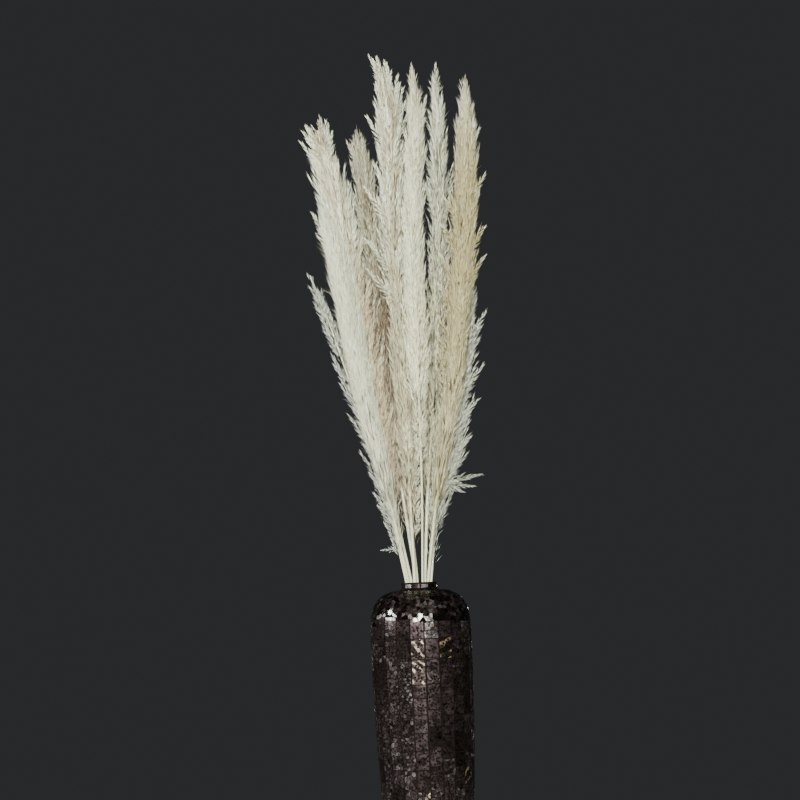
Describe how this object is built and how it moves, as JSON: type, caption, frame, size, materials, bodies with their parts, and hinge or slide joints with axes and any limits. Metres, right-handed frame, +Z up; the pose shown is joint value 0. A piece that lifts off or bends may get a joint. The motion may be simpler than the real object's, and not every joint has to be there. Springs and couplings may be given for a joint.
{
  "type": "vase of dried pampas grass",
  "caption": "Slim shell-mosaic vase with a short neck, holding a loose fan of dried, bleached pampas-grass plumes on long bare stems.",
  "frame": {"origin": "centre of the vase's flat underside, on the surface that it stands on", "axes": "+Z up along the vase's axis; the pictured front faces -Y, with +X to the viewer's right"},
  "size_m": [0.2801, 0.1668, 1.2421],
  "materials": {
    "shell_mosaic": "gloss",
    "fluff_cool_white": "matte",
    "fluff_warm_white": "matte",
    "fluff_cream": "matte",
    "fluff_tan": "matte"
  },
  "bodies": {
    "root": {"vase": "shell_mosaic", "plume_far_left": "fluff_warm_white", "plume_left_front": "fluff_cool_white", "plume_left_low": "fluff_cool_white", "plume_back_left": "fluff_tan", "plume_tall": "fluff_warm_white", "plume_centre": "fluff_warm_white", "plume_slender": "fluff_cool_white", "plume_right": "fluff_cream", "plume_right_low": "fluff_warm_white", "plume_back": "fluff_tan"}
  },
  "joints": []
}
